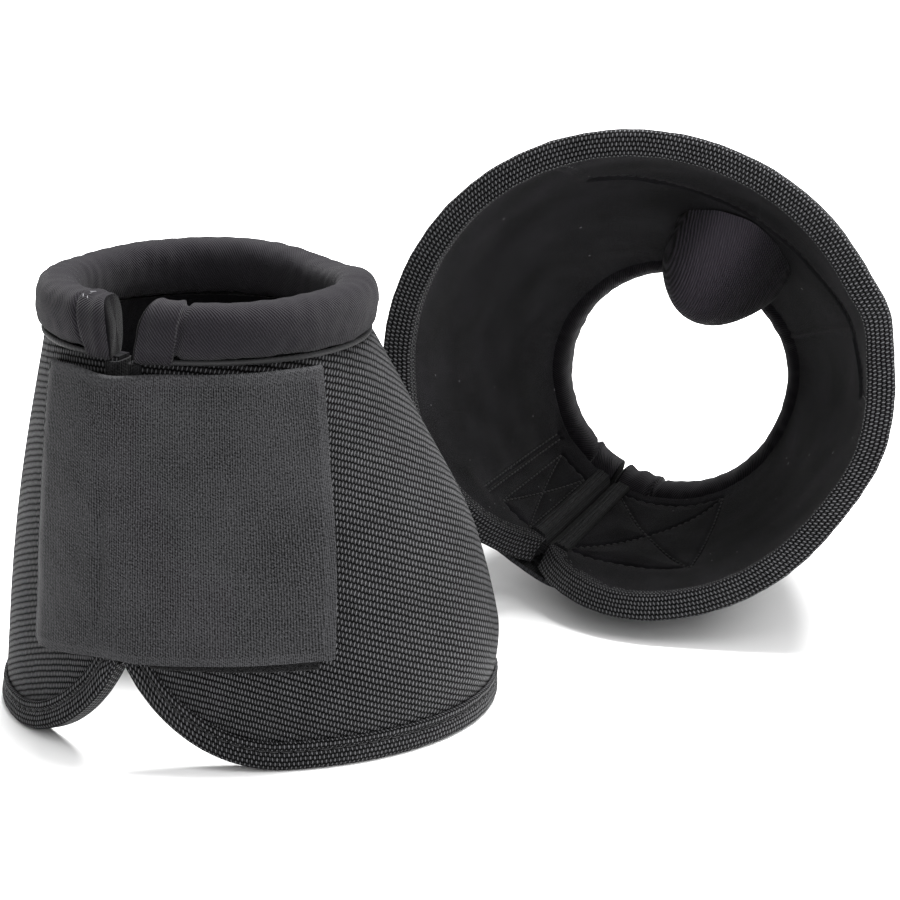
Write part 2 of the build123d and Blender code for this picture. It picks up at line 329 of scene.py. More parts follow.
# ---------------------------------------------------------------- materials
class Cloth:
    """Small helper that wires a procedural cloth material."""

    def __init__(self, name):
        self.m = bpy.data.materials.new(name)
        self.m.use_nodes = True
        self.t = self.m.node_tree
        self.bsdf = self.t.nodes["Principled BSDF"]
        uv = self.node("ShaderNodeUVMap")
        uv.uv_map = "cloth"
        self.uv = uv.outputs["UV"]
        cut = self.node("ShaderNodeSeparateXYZ")
        self.link(self.uv, cut.inputs[0])
        self.x, self.y = cut.outputs[0], cut.outputs[1]

    def node(self, kind, **values):
        n = self.t.nodes.new(kind)
        for key, value in values.items():
            setattr(n, key, value)
        return n

    def link(self, a, b):
        self.t.links.new(a, b)

    def put(self, socket, value):
        if isinstance(value, bpy.types.NodeSocket):
            self.link(value, socket)
        else:
            socket.default_value = value

    def math(self, op, a, b=None, c=None):
        n = self.node("ShaderNodeMath", operation=op)
        for socket, value in zip(n.inputs, (a, b, c)):
            if value is not None:
                self.put(socket, value)
        return n.outputs[0]

    def madd(self, a, b, c):
        """a times b plus c."""
        return self.math("MULTIPLY_ADD", a, b, c)

    def noise(self, scale, detail=3.0, rough=0.55, stretch=None):
        n = self.node("ShaderNodeTexNoise")
        vector = self.uv
        if stretch:
            m = self.node("ShaderNodeMapping")
            m.inputs["Scale"].default_value = (*stretch, 1)
            self.link(vector, m.inputs[0])
            vector = m.outputs[0]
        self.link(vector, n.inputs["Vector"])
        n.inputs["Scale"].default_value = scale
        n.inputs["Detail"].default_value = detail
        n.inputs["Roughness"].default_value = rough
        return n.outputs["Fac"]

    def ramp(self, value, stops):
        n = self.node("ShaderNodeValToRGB")
        self.link(value, n.inputs[0])
        e = n.color_ramp.elements
        e[0].position, e[0].color = stops[0][0], (*stops[0][1], 1)
        e[1].position, e[1].color = stops[-1][0], (*stops[-1][1], 1)
        for pos, col in stops[1:-1]:
            e.new(pos).color = (*col, 1)
        return n.outputs[0]

    def sine(self, value, pitch):
        return self.math("SINE", self.madd(value, 2 * np.pi / pitch, 0.0))

    def bump(self, height, distance, strength=1.0, after=None):
        n = self.node("ShaderNodeBump")
        n.inputs["Distance"].default_value = distance
        n.inputs["Strength"].default_value = strength
        self.link(height, n.inputs["Height"])
        if after is not None:
            self.link(after, n.inputs["Normal"])
        return n.outputs[0]

    def done(self, colour, rough, normal, sheen, sheen_rough, spec):
        self.put(self.bsdf.inputs["Base Color"], colour)
        self.put(self.bsdf.inputs["Roughness"], rough)
        self.link(normal, self.bsdf.inputs["Normal"])
        self.bsdf.inputs["Sheen Weight"].default_value = sheen
        self.bsdf.inputs["Sheen Roughness"].default_value = sheen_rough
        self.put(self.bsdf.inputs["Specular IOR Level"], spec)
        return self.m


def grey(v):
    """Near-black to pale grey, a touch blue."""
    return (v, v, v * 1.06)


def woven(name, across, along, dark=0.0008, light=0.080, gloss=0.24, depth=0.00040, jitter=0.28):
    """Plain weave of fat yarns."""
    c = Cloth(name)
    wander_x = c.madd(c.noise(0.22, 2), jitter * 2, c.x)
    wander_y = c.madd(c.noise(0.19, 2), jitter * 2.4, c.y)
    su = c.sine(wander_x, 2 * across)
    sv = c.sine(wander_y, 2 * along)
    check = c.math("MULTIPLY", su, sv)
    warp = c.math("POWER", c.math("MAXIMUM", check, 0.0), 0.55)
    weft = c.math("POWER", c.math("MAXIMUM", c.math("MULTIPLY", check, -1.0), 0.0), 0.7)
    h = c.madd(weft, 0.50, warp)
    fibre = c.noise(7.0, 2, 0.6, stretch=(1, 0.25))
    cloud = c.noise(0.06, 3)
    grain = c.noise(0.9, 2)
    # colour follows the weave height: the gaps and the lower crossing yarns are painted darker, as shade
    # between the yarns
    lit = c.madd(fibre, 0.30, c.madd(cloud, 0.20, c.math("SUBTRACT", h, 0.25)))
    lit = c.madd(grain, 0.5, c.math("SUBTRACT", lit, 0.25))
    colour = c.ramp(lit, [(0.18, grey(dark)), (0.50, grey(light * 0.16)), (0.78, grey(light * 0.55)),
                          (1.0, grey(light))])
    rough = c.madd(fibre, 0.25, 0.50)
    n = c.bump(h, depth, 1.0)
    n = c.bump(fibre, 0.00006, 0.5, n)
    shine = c.math("MULTIPLY", c.math("MULTIPLY", h, h), gloss)
    return c.done(colour, rough, n, 0.02, 0.45, shine)


def knitted(name, pitch=1.0, slope=0.8, dark=0.0006, light=0.0155, tint=0.13, sheen=0.055, highlight_at=None):
    """Fine jersey with a slanting line; highlight_at, if given, is the middle of a painted highlight: a paler
    spot standing in for light.
    """
    c = Cloth(name)
    wob = c.noise(0.35, 2)
    slant = c.madd(c.y, slope, c.madd(wob, 0.7, c.x))
    line = c.madd(c.sine(slant, pitch), 0.5, 0.5)
    cross = c.madd(c.sine(c.madd(c.y, -0.35, c.x), 0.62), 0.5, 0.5)
    h = c.madd(cross, 0.4, line)
    fuzz = c.noise(5.0, 4, 0.7)
    lit = c.madd(fuzz, 0.9, c.madd(h, 0.40, -0.20))
    # painted highlight: the colour is lightened round this spot, standing in for light falling on the knob
    if highlight_at:
        dx = c.madd(c.x, 1 / 11, -highlight_at[0] / 11)
        dy = c.madd(c.y, 1 / 13, -highlight_at[1] / 13)
        near = c.madd(dx, dx, c.math("MULTIPLY", dy, dy))
        nap = c.math("EXPONENT", c.math("MULTIPLY", near, -1.0))
        lit = c.math("ADD", lit, c.madd(nap, 0.50, -0.26))
    colour = c.ramp(lit, [(0.2, (dark, dark * 0.9, dark * (1 + tint))),
                          (0.85, (light, light * 0.89, light * (1 + tint)))])
    n = c.bump(h, 0.00026, 0.9)
    n = c.bump(fuzz, 0.00010, 0.6, n)
    return c.done(colour, c.madd(fuzz, 0.15, 0.72), n, sheen, 0.5, 0.05)


def brushed(name, dark=0.0008, light=0.0125):
    """Short brushed pile with a few specks of lint."""
    c = Cloth(name)
    nap = c.noise(1.5, 6, 0.75)
    patch = c.noise(0.045, 4)
    lit = c.madd(patch, 0.9, c.madd(nap, 0.9, -0.25))
    base = c.ramp(lit, [(0.35, grey(dark)), (0.95, (light, light * 0.95, light * 1.12))])
    dots = c.node("ShaderNodeTexVoronoi")
    c.link(c.uv, dots.inputs["Vector"])
    dots.inputs["Scale"].default_value = 0.11
    speck = c.math("LESS_THAN", dots.outputs["Distance"], 0.05)
    mix = c.node("ShaderNodeMix", data_type="RGBA")
    c.link(c.math("MULTIPLY", speck, 0.8), mix.inputs[0])
    c.link(base, mix.inputs[6])
    c.link(c.ramp(nap, [(0.2, grey(0.05)), (0.8, grey(0.16))]), mix.inputs[7])
    n = c.bump(nap, 0.00035, 0.8)
    return c.done(mix.outputs[2], c.madd(nap, 0.1, 0.85), n, 0.045, 0.35, 0.02)


def ribbed(name, pitch=0.72, dots=False, dark=0.0012, light=0.029, spec=0.05):
    """Narrow woven tape with ribs along y; dots are the roots of hooks seen from the back, with painted
    glints on them.
    """
    c = Cloth(name)
    rib = c.madd(c.sine(c.madd(c.noise(0.15, 2), 0.5, c.x), pitch), 0.5, 0.5)
    pick = c.madd(c.sine(c.madd(c.x, 0.55, c.y), 0.95), 0.5, 0.5)
    h = c.madd(pick, 0.45, rib)
    fuzz = c.noise(6.0, 3, 0.7)
    cloud = c.noise(0.05, 3)
    grit = c.noise(1.6, 2, 0.7)
    lit = c.madd(fuzz, 0.35, c.madd(cloud, 0.25, c.math("MULTIPLY", h, 0.25)))
    lit = c.madd(grit, 1.1, c.math("SUBTRACT", lit, 0.45))
    colour = c.ramp(lit, [(0.38, grey(dark)), (0.72, grey(light * 1.1))])
    n = c.bump(grit, 0.00018, 0.8)
    n = c.bump(h, 0.00016, 0.9, n)
    n = c.bump(fuzz, 0.00005, 0.5, n)
    if dots:
        # painted glints: paler grey spots on the hook roots, standing in for light catching them
        row = c.math("FLOOR", c.math("DIVIDE", c.y, 1.45))
        shift = c.math("MULTIPLY", c.math("FLOORED_MODULO", row, 2.0), 0.72)
        px = c.math("SINE", c.math("MULTIPLY", c.math("ADD", c.x, shift), np.pi / 1.44))
        py = c.math("SINE", c.math("MULTIPLY", c.y, np.pi / 1.45))
        spot = c.math("MULTIPLY", c.math("ABSOLUTE", px), c.math("ABSOLUTE", py))
        mask = c.math("GREATER_THAN", c.noise(0.55, 2), 0.44)
        glint = c.math("MULTIPLY", c.math("SMOOTH_MAX", c.madd(spot, 5.0, -4.15), 0.0, 0.1), mask)
        mix = c.node("ShaderNodeMix", data_type="RGBA")
        c.link(glint, mix.inputs[0])
        c.link(colour, mix.inputs[6])
        c.link(c.ramp(fuzz, [(0.2, grey(0.025)), (0.8, grey(0.085))]), mix.inputs[7])
        colour = mix.outputs[2]
        n = c.bump(glint, 0.00010, 0.8, n)
    return c.done(colour, c.madd(fuzz, 0.2, 0.55), n, 0.02, 0.45, spec)


def pile(name, dark=0.001, light=0.009, size=2.6):
    """Loop or hook face of the fastening tape."""
    c = Cloth(name)
    cell = c.node("ShaderNodeTexVoronoi")
    c.link(c.uv, cell.inputs["Vector"])
    cell.inputs["Scale"].default_value = size
    fuzz = c.noise(4.0, 5, 0.75)
    h = c.madd(fuzz, 0.6, c.math("SUBTRACT", 1.0, cell.outputs["Distance"]))
    colour = c.ramp(h, [(0.5, grey(dark)), (1.4, grey(light))])
    return c.done(colour, c.madd(fuzz, 0.1, 0.8), c.bump(h, 0.00030, 0.9), 0.06, 0.4, 0.05)


def thread(name, dark=0.003, light=0.020):
    c = Cloth(name)
    twist = c.madd(c.sine(c.math("ADD", c.x, c.y), 0.5), 0.5, 0.5)
    fuzz = c.noise(6.0, 3)
    lit = c.madd(fuzz, 0.4, c.math("MULTIPLY", twist, 0.5))
    colour = c.ramp(lit, [(0.1, grey(dark)), (0.9, grey(light))])
    return c.done(colour, c.madd(fuzz, 0.2, 0.45), c.bump(twist, 0.00008, 0.8), 0.03, 0.4, 0.2)


def foam(name):
    c = Cloth(name)
    cell = c.node("ShaderNodeTexVoronoi")
    c.link(c.uv, cell.inputs["Vector"])
    cell.inputs["Scale"].default_value = 1.4
    d = cell.outputs["Distance"]
    colour = c.ramp(d, [(0.0, grey(0.003)), (0.8, grey(0.012))])
    return c.done(colour, c.madd(d, 0.1, 0.85), c.bump(d, 0.00025, 0.8), 0.0, 0.5, 0.03)


NYLON = woven("ballistic_nylon", 0.72, 1.90)
BINDING = woven("woven_binding", 0.72, 1.50, 0.0008, 0.085)
TAPE = ribbed("ribbed_tape", 0.9, dark=0.0015, light=0.012)
KNIT = knitted("stretch_knit")
# a lit copy of the stretch knit for the knob: paler colour and a painted highlight, standing in for light
# falling on it
LIT_KNOB_KNIT = knitted("knob_knit_painted_highlight", 0.8, 0.6, 0.0015, 0.055, 0.10, 0.05, (-6.5, 112.0))
PIPE = thread("seam_piping", 0.004, 0.024)
FLEECE = brushed("brushed_lining")
# darker copy of the brushed cloth for the end caps of the collar wraps: painted shade in the gap between
# them, over the dark inner side of the fold
SHADED_CAP_KNIT = brushed("cap_knit_painted_shade", light=0.004)
FOAM = foam("cushion_foam")
LOOP = pile("loop_tape")
HOOK = pile("hook_tape", 0.0015, 0.012, 1.7)
WEB = ribbed("strap_webbing", 0.72, True)
SELVAGE = ribbed("strap_selvage", 0.55, False, 0.006, 0.034)
THREAD = thread("sewing_thread")
LINT = thread("pale_lint", 0.10, 0.32)


# ---------------------------------------------------------------- pieces of the bell
def lines_near(x, y, segments):
    """Distance to the nearest of some straight lines."""
    best = np.full(np.broadcast(x, y).shape, 1e9)
    for (ax, ay), (bx, by) in segments:
        dx, dy = bx - ax, by - ay
        t = np.clip(((x - ax) * dx + (y - ay) * dy) / (dx * dx + dy * dy), 0, 1)
        best = np.minimum(best, np.hypot(x - ax - t * dx, y - ay - t * dy))
    return best


def box_cross(x0, x1, y0, y1):
    c = [(x0, y0), (x1, y0), (x1, y1), (x0, y1)]
    return [(c[0], c[1]), (c[1], c[2]), (c[2], c[3]), (c[3], c[0]), (c[0], c[2]), (c[1], c[3])]


TONGUE_BOX = box_cross(5.5, 51.0, 43.0, 120.0)
LANDING_BOX = box_cross(-23.0, -9.0, 39.0, 113.0)
STRAP_ROWS = [((-31.0, 33.0), (-31.0, 120.0)), ((-28.6, 33.0), (-28.6, 120.0))]
ARC = 0.92


def arc_run(a):
    """Millimetres round the front of the wall from the slit, near enough."""
    return signed(a) * ARC


def shell(side, name, start, end):
    a = spaced(start, end, 0.9, 0.5)[:, None]
    t = spaced(0, 1, 1 / 95, 0.01)[None, :]
    low = hem_height(a) + hem_slope(a) + 0.4
    high = top_height(a) - 0.05
    z = low + (high - low) * t
    edge = np.minimum(np.abs(a - start), np.abs(a - end)) * 1.1
    dip = 0.55 * np.exp(-(edge / 1.1) ** 2) * (np.abs(signed(a)) > 20)
    under_band = 0.35 * np.exp(-((z - band_top(a)) / 1.3) ** 2)
    under_roll = 0.55 * np.exp(-((high - z) / 1.6) ** 2)
    pucker = 0.16 * ripple(3, a * 1.1, z * 0.2, 7) * np.exp(-((high - z) / 12) ** 2)
    depth = dip + under_band + under_roll + pucker + 0.05
    uv = flat_pattern(a + 0 * z, z)
    under = on_wall(a, z, np.full(z.shape, 1.2))
    return slab(f"{side}_{name}", side, on_wall(a, z, depth), under, uv, NYLON,
                side + "_boot", [f"{side}_{name}"])


def foam_core(side):
    a = spaced(2.9, 357.1, 3.0, 0.5)[:, None]
    t = np.linspace(0, 1, 40)[None, :]
    low = hem_height(a) + hem_slope(a) + 0.5
    z = low + (top_height(a) - 0.1 - low) * t
    uv = np.stack([a * 1.0 + 0 * z, z], -1)
    return slab(f"{side}_foam_core", side, on_wall(a, z, 1.28), on_wall(a, z, 4.95), uv, FOAM,
                side + "_boot", [f"{side}_foam_core"])


def lining(side, name, start, end):
    a = spaced(start, end, 0.62, 0.4)[:, None]
    t = spaced(0, 1, 1 / 125, 0.008)[None, :]
    low = hem_height(a) + hem_slope(a) + 0.4
    high = top_height(a) - 0.05
    z = low + (high - low) * t
    x = arc_run(a) + 0 * z
    d = lines_near(x, z, TONGUE_BOX + LANDING_BOX + STRAP_ROWS)
    groove = 1.0 * np.exp(-(d / 0.85) ** 2)
    puff = 0.95 * (1 - np.exp(-(d / 6) ** 2)) * np.exp(-(np.abs(signed(a)) / 75) ** 4)
    seam = 1.5 * np.exp(-((a - REAR_SEAM) / 0.9) ** 2) - 0.7 * np.exp(-((a - REAR_SEAM) / 2.3) ** 2)
    soft = 0.14 * ripple(5, a * 1.1, z, 34)
    pucker = 0.10 * ripple(9, a * 1.1, z * 0.15, 6) * np.exp(-((high - z) / 9) ** 2)
    depth = LINING_IN - groove + puff + soft + pucker + seam * 0.8
    uv = flat_pattern(a + 0 * z, z)
    under = on_wall(a, z, np.full(z.shape, 5.02))
    return slab(f"{side}_{name}", side, under, on_wall(a, z, depth), uv, FLEECE,
                side + "_boot", [f"{side}_{name}"])


BAND_OUT = np.array([
    (0.00, 9.0), (-0.55, 8.95), (-0.85, 8.7), (-0.98, 8.2), (-1.0, 7.6), (-0.98, 7.0), (-0.88, 6.6),
    (-0.55, 6.3), (-0.38, 6.0), (-0.55, 5.7), (-0.95, 5.35), (-1.15, 4.7), (-1.3, 3.8), (-1.38, 2.8),
    (-1.35, 1.9), (-1.15, 1.1), (-0.75, 0.5), (-0.1, 0.12), (0.8, 0.0), (2.2, 0.0), (3.6, 0.0),
    (5.0, 0.0), (6.1, 0.12), (6.9, 0.5), (7.35, 1.1), (7.6, 1.9), (7.65, 2.8), (7.55, 3.8),
    (7.4, 4.7), (7.2, 5.35), (6.85, 5.7), (6.7, 6.0), (6.85, 6.3), (7.15, 6.6), (7.25, 7.0),
    (7.25, 7.6), (7.22, 8.2), (7.1, 8.7), (6.8, 8.95), (6.35, 9.0)])
BAND_IN = np.array([
    (-0.02, 8.9), (-0.03, 8.8), (-0.04, 8.6), (-0.04, 8.2), (-0.04, 7.6), (-0.04, 7.0), (-0.04, 6.6),
    (-0.04, 6.3), (-0.04, 6.0), (-0.04, 5.7), (-0.04, 5.35), (-0.04, 4.7), (-0.04, 3.8),
    (-0.04, 2.8), (-0.04, 2.2), (-0.04, 1.8), (-0.02, 1.5), (0.1, 1.35), (0.8, 1.3), (2.2, 1.3),
    (3.6, 1.3), (5.0, 1.3), (6.0, 1.35), (6.2, 1.5), (6.26, 1.8), (6.26, 2.2), (6.26, 2.8),
    (6.26, 3.8), (6.26, 4.7), (6.26, 5.35), (6.26, 5.7), (6.26, 6.0), (6.26, 6.3), (6.26, 6.6),
    (6.26, 7.0), (6.26, 7.6), (6.26, 8.2), (6.26, 8.6), (6.26, 8.8), (6.26, 8.9)])


def hem_binding(side):
    a = spaced(1.7, 358.3, 0.8, 0.5)[:, None]
    scale = (band_top(a) - hem_height(a)) / BAND
    run = np.cumsum(np.hypot(*np.diff(BAND_OUT, axis=0, prepend=BAND_OUT[:1]).T))
    puck = 0.10 * ripple(11, a * 1.3, np.linspace(0, 3, len(BAND_OUT))[None, :], 5.5)
    grids = []
    for prof, wave in ((BAND_OUT, 1), (BAND_IN, 0)):
        z = hem_height(a) + prof[None, :, 1] * scale
        grow = np.sign(prof[None, :, 0] - 3.1) * puck * wave * (prof[None, :, 1] > 0.6)
        grids.append(on_wall(a, z, prof[None, :, 0] + grow))
    length = np.cumsum(np.concatenate([[0], np.linalg.norm(np.diff(grids[0][:, 12], axis=0), axis=1)]))
    uv = np.stack(np.broadcast_arrays(length[:, None], run[None, :]), -1)
    return slab(f"{side}_hem_binding", side, grids[0], grids[1], uv, BINDING, side + "_boot",
                [f"{side}_hem_binding"])


def hem_threads(side):
    lines = []
    for depth, t in ((-0.62, 6.0), (6.95, 6.0)):
        a = np.linspace(3, 357, 700)
        z = hem_height(a) + t * (band_top(a) - hem_height(a)) / BAND
        lines.append((on_wall(a, z, depth), outward(a) * (1 if depth < 0 else -1)))
    return stitches(f"{side}_hem_stitching", side, lines, THREAD, side + "_boot",
                    3.4, 0.6, 0.33)


def slit_tape(side, name, way):
    ribs = 4
    nose = 2.2 if side == "right" else 0.75
    w = np.linspace(0, 1, 30)
    ridge = 0.42 * np.abs(np.sin(np.pi * ribs * w)) ** 0.7
    out = [(-0.35 - 0.55 * min(1, 6 * (1 - s)) * min(1, 6 * (s + 0.02)) ** 0.5 - r, 7.0 - 4.7 * s)
           for s, r in zip(w, ridge)]
    rim_w = np.linspace(0, 1, 18)
    rim = [(-0.4 + 7.2 * s, 2.25 - nose * np.sin(np.pi * s) ** 0.5 - 0.16 * abs(np.sin(np.pi * 5 * s)))
           for s in rim_w]
    back = [(6.75 + 0.75 * min(1, 6 * s + 0.3) * min(1, 6 * (1 - s) + 0.1) + r, 2.3 + 6.6 * s)
            for s, r in zip(w, ridge)]
    prof = np.array(out + rim[1:-1] + back)
    inside = np.array([(-0.04, min(7.0, max(2.75, 7.0 - 4.7 * s))) for s in w]
                      + [(0.0 + 6.2 * s, 2.75) for s in rim_w[1:-1]]
                      + [(6.26, min(8.8, max(2.75, 2.3 + 6.6 * s))) for s in w])
    z = spaced(TAPE_FOOT, TAPE_HEAD, 1.6, 0.4)[:, None]
    run = np.cumsum(np.concatenate([[0], np.hypot(np.diff(prof[:, 0]), np.diff(prof[:, 1]) * 0.9)]))
    wave = 0.10 * ripple(21, z * 1.0, run[None, :] * 0.2, 9)
    outer = on_wall(way * prof[None, :, 1], z, prof[None, :, 0] + wave * np.sign(prof[None, :, 0] - 3))
    inner = on_wall(way * inside[None, :, 1], z, inside[None, :, 0] + 0 * z)
    uv = np.stack(np.broadcast_arrays(run[None, :], z), -1)
    return slab(f"{side}_{name}", side, outer, inner, uv, TAPE, side + "_boot",
                [f"{side}_{name}"])


def heel_top(a):
    return HEEL_PEAK - HEEL_FALL * ((a - HEEL_MID) / HEEL_HALF) ** 2


def heel_patch(side):
    left, right = HEEL_MID - HEEL_HALF, HEEL_MID + HEEL_HALF
    a = spaced(left, right, 0.7, 0.6)[:, None]
    t = spaced(0, 1, 1 / 55, 0.02)[None, :]
    high = heel_top(a)
    z = 10.2 + (high - 10.2) * t
    rim = (high - z)
    side_rim = (HEEL_HALF - np.abs(a - HEEL_MID)) * 1.15
    near = np.minimum(rim, side_rim + 0 * rim)
    ridge = 0.75 * np.exp(-((near - 1.0) / 0.9) ** 2)
    row = -0.35 * np.exp(-((near - 3.6) / 0.7) ** 2)
    depth = 7.15 + ridge + row + 0.25 * ripple(31, a * 1.1, z, 20) + 0.3 * np.exp(-((z - 34) / 20) ** 2)
    depth = 6.45 + (depth - 6.45) * edge_round(t, 0, 1, 0.02) * edge_round(a, left, right, 0.6)
    uv = flat_pattern(a + 0 * z, z) + 31
    under = on_wall(a, z, np.full(z.shape, 6.4))
    return slab(f"{side}_heel_patch", side, under, on_wall(a, z, depth), uv, FLEECE,
                side + "_boot", [f"{side}_heel_patch"])


def heel_threads(side):
    half = 44.5
    a = np.linspace(HEEL_MID - half, HEEL_MID + half, 160)
    z = heel_top(a) - 3.6
    lines = [(on_wall(a, z, 6.95), -outward(a))]
    for s in (-1, 1):
        zz = np.linspace(12, heel_top(HEEL_MID + half) - 4, 40)
        aa = np.full(zz.shape, HEEL_MID + s * half)
        lines.append((on_wall(aa, zz, 6.95), -outward(aa)))
    return stitches(f"{side}_heel_patch_stitching", side, lines, THREAD, side + "_boot",
                    2.6, 0.6, 0.26)


def inner_threads(side):
    lines = []
    for (x0, y0), (x1, y1) in TONGUE_BOX + LANDING_BOX + STRAP_ROWS:
        t = np.linspace(0, 1, 40)
        a, z = (x0 + (x1 - x0) * t) / ARC, y0 + (y1 - y0) * t
        lines.append((on_wall(a, z, LINING_IN - 0.62), -outward(a)))
    return stitches(f"{side}_closure_stitching", side, lines, THREAD, side + "_boot",
                    2.8, 0.6, 0.26)


def knob(side, cover):
    grow = 0.0 if cover else -1.3
    n_s, n_t = (46, 150) if cover else (16, 40)
    s = np.sin(np.linspace(0, np.pi / 2, n_s))[:, None]
    t = np.linspace(0, 2 * np.pi, n_t, endpoint=False)[None, :]
    swell = (1 - s ** 2.7) ** (1 / 2.3)
    folds = 0.016 * np.cos(13 * t + 1.5 * np.sin(2 * t)) * (1 - s) ** 2 + 0.03 * np.cos(5 * t + 0.5) * (1 - s)
    dents = 0.035 * ripple(41, 14 * np.cos(t) * s, 14 * np.sin(t) * s, 16)
    r = swell * (1 + (folds if cover else 0) + dents) + 0.02 * (1 - s)
    x = (20.5 + grow) * r * np.cos(t) + KNOB_X
    z = KNOB_Z + (17.0 + grow) * r * np.sin(t) + 1.5 * s
    off = SHARE * (wall_radius(z) - TOP_R)
    seat = off + np.sqrt((wall_radius(z) - 6.6) ** 2 - x ** 2)
    tip = KNOB_TIP - grow + 0.020 * (x - KNOB_X) ** 2 * (1 - 0.4 * s)
    y = seat + (tip - seat) * s
    rings = np.stack([x, y, z + 0 * y], -1)
    uv = np.stack([closed(x), closed(z + 0 * y) + 0.5 * closed(y)], -1)
    base = rings[:1].copy()
    base[..., 0] = KNOB_X + (base[..., 0] - KNOB_X) * 0.02
    base[..., 1] = base[..., 1].min()
    base[..., 2] = KNOB_Z + (base[..., 2] - KNOB_Z) * 0.02
    rings = np.concatenate([base, rings])
    uv = np.concatenate([uv[:1], uv])
    name = "no_turn_knob_cover" if cover else "no_turn_knob_foam"
    material, slot = (LIT_KNOB_KNIT, "stretch_knit") if cover else (FOAM, "cushion_foam")
    return tube(f"{side}_{name}", side, rings, uv, material, side + "_boot", [f"{side}_{name}"])


# ---------------------------------------------------------------- collar
def tilted(p):
    c, s = np.cos(TILT_COLLAR), np.sin(TILT_COLLAR)
    return np.stack([p[..., 0], c * p[..., 1] - s * p[..., 2], s * p[..., 1] + c * p[..., 2] + WALL_TOP], -1)


def roll_point(a, u, grow, shift=0.0):
    """Point on the collar roll: angle round the pastern and place u round its section."""
    cu, su = np.cos(u), np.sin(u)
    k = 2 / 2.7
    x = ROLL_R + (ROLL_W / 2 + grow) * np.sign(cu) * np.abs(cu) ** k
    z = ROLL_H / 2 + 0.3 + shift + (ROLL_H / 2 + grow) * np.sign(su) * np.abs(su) ** k
    t = np.radians(a)
    ring = np.degrees(t) % 360
    dip = 3.0 * np.exp(-((ring - 152) / 22) ** 2) + 1.2 * np.exp(-((ring - 262) / 20) ** 2)
    rise = 0.8 * np.exp(-((ring - 120) / 14) ** 2) + 0.6 * np.exp(-((ring - 205) / 30) ** 2)
    z = z + (rise - dip) * np.clip((z - 2) / ROLL_H, 0, 1)
    return tilted(np.stack([x * np.sin(t), -x * np.cos(t), z + 0 * t], -1))


def section_run(count):
    u = np.linspace(0, 2 * np.pi, count + 1)
    p = roll_point(np.zeros(count + 1), u, 0)
    return u[:-1], np.concatenate([[0], np.cumsum(np.linalg.norm(np.diff(p, axis=0), axis=1))])


def collar_roll(side, cover):
    grow = 0.0 if cover else -1.3
    count = 56 if cover else 20
    u, run = section_run(count)
    ends = (14.0, 346.0) if cover else (10.5, 348.5)
    a = np.linspace(*ends, 420 if cover else 90)[:, None]
    ring_u = u[None, :]
    seam = np.exp(-((np.abs((ring_u - 1.5 * np.pi + np.pi) % (2 * np.pi) - np.pi)) / 0.55) ** 2)
    wave = 0.0
    if cover:
        tall = 0.5 + 0.5 * np.sin(ring_u)
        pinch = np.exp(-((a - 19.2 - 4 * tall) / 1.1) ** 2) + np.exp(-((a - 345.0 + 5.6 * tall) / 1.1) ** 2)
        wave = 0.22 * ripple(51, a * 0.9, ring_u * 5, 26) + 0.12 * ripple(52, a * 0.9, ring_u * 5, 8)
        wave = wave - 0.35 * seam + 0.16 * ripple(53, a * 0.9, ring_u * 0.6, 5) * seam * 2 - 1.1 * pinch
    rings = roll_point(a, ring_u, grow + wave)
    cap0 = rings[:1].mean(1, keepdims=True) + (rings[:1] - rings[:1].mean(1, keepdims=True)) * 0.02
    cap1 = rings[-1:].mean(1, keepdims=True) + (rings[-1:] - rings[-1:].mean(1, keepdims=True)) * 0.02
    rings = np.concatenate([cap0, rings, cap1])
    along = np.concatenate([a[:1], a, a[-1:]]) * 0.9
    uv = np.stack(np.broadcast_arrays(along, run[None, :]), -1)
    name = "collar_cover" if cover else "collar_foam"
    material, slot = (KNIT, "stretch_knit") if cover else (FOAM, "cushion_foam")
    return tube(f"{side}_{name}", side, rings, uv, material, side + "_boot", [f"{side}_{name}"])


